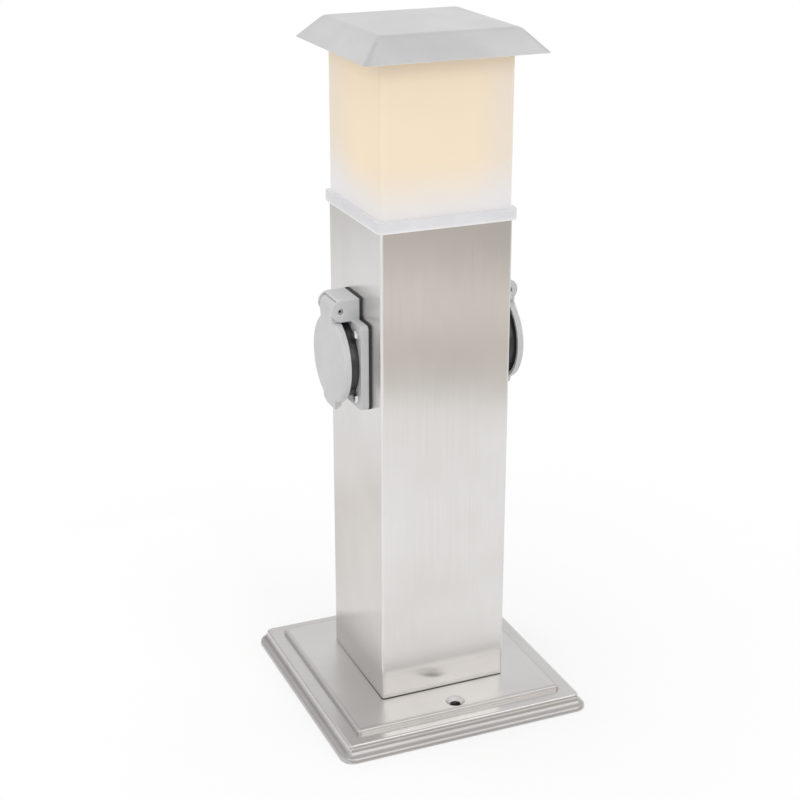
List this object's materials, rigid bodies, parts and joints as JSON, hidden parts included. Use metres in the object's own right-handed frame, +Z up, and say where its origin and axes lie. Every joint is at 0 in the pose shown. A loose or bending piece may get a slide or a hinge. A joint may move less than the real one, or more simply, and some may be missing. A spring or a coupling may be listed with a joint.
{
  "type": "garden socket post",
  "caption": "Square stainless garden post on a stamped plinth, with spring-lidded mains sockets on its sides and a glowing opal lamp head under a sloped sheet-metal cap.",
  "frame": {"origin": "on the ground under the middle of the plinth", "axes": "+Z up along the post, -Y towards the front face, sockets face -X and +X"},
  "size_m": [0.16, 0.16, 0.41],
  "materials": {
    "stainless": "fine vertical brush, satin",
    "cap_steel": "satin, soft folds",
    "zinc_sheet": "zinc plated",
    "fastener_steel": "zinc plated",
    "bright_steel": "bright",
    "brass": "satin",
    "rubber": "matte",
    "nylon": "satin",
    "brown_wire": "satin",
    "blue_wire": "satin",
    "earth_wire": "green with a yellow stripe",
    "collar_plastic": "semi-gloss",
    "holder_plastic": "glazed",
    "bulb_metal": "satin",
    "bulb_glass": "opal",
    "opal": "opal, lit from inside",
    "grey_plastic": "fine satin grain",
    "black_plastic": "satin"
  },
  "bodies": {
    "post": {"base_plate": "stainless", "post_tube": "stainless", "cap": "cap_steel", "foot_frame": "zinc_sheet", "top_frame": "zinc_sheet", "lamp_bracket": "zinc_sheet", "foot_bolts": "fastener_steel", "foot_nuts": "fastener_steel", "terminal_screws": "fastener_steel", "terminal_fixings": "fastener_steel", "collar_screws": "fastener_steel", "bracket_screws": "fastener_steel", "flange_nuts_left": "fastener_steel", "flange_nuts_right": "fastener_steel", "lid_spring_left": "fastener_steel", "lid_spring_right": "fastener_steel", "flange_screws_left": "bright_steel", "flange_screws_right": "bright_steel", "hinge_pin_left": "bright_steel", "hinge_pin_right": "bright_steel", "earth_lug": "bright_steel", "earth_stud": "brass", "earth_nuts": "brass", "lamp_shell": "brass", "lamp_centre_contact": "brass", "contacts_left": "brass", "contacts_right": "brass", "earth_clip_left": "brass", "earth_clip_right": "brass", "cable_grommet": "rubber", "cap_seal": "rubber", "gasket_left": "rubber", "gasket_right": "rubber", "terminal_block": "nylon", "wires_live": "brown_wire", "wires_neutral": "blue_wire", "wires_earth": "earth_wire", "collar": "collar_plastic", "lamp_holder": "holder_plastic", "lamp_holder_nut": "holder_plastic", "bulb_cap": "bulb_metal", "bulb_globe": "bulb_glass", "shade": "opal", "flange_left": "grey_plastic", "flange_right": "grey_plastic", "insert_left": "black_plastic", "insert_right": "black_plastic", "rear_cover_left": "black_plastic", "rear_cover_right": "black_plastic"},
    "lid_left": {"lid_left": "grey_plastic", "lid_seal_left": "rubber"},
    "lid_right": {"lid_right": "grey_plastic", "lid_seal_right": "rubber"}
  },
  "joints": [
    {"name": "lid_left", "type": "hinge", "parent": "post", "child": "lid_left", "pos_m": [-0.0531, 0, 0.2522], "axis": [0, 1, 0], "range_deg": [0, 90], "stiffness_Nm_per_rad": 0.02, "springref_deg": -34.38},
    {"name": "lid_right", "type": "hinge", "parent": "post", "child": "lid_right", "pos_m": [0.0531, 0, 0.2522], "axis": [0, -1, 0], "range_deg": [0, 90], "stiffness_Nm_per_rad": 0.02, "springref_deg": -34.38}
  ]
}
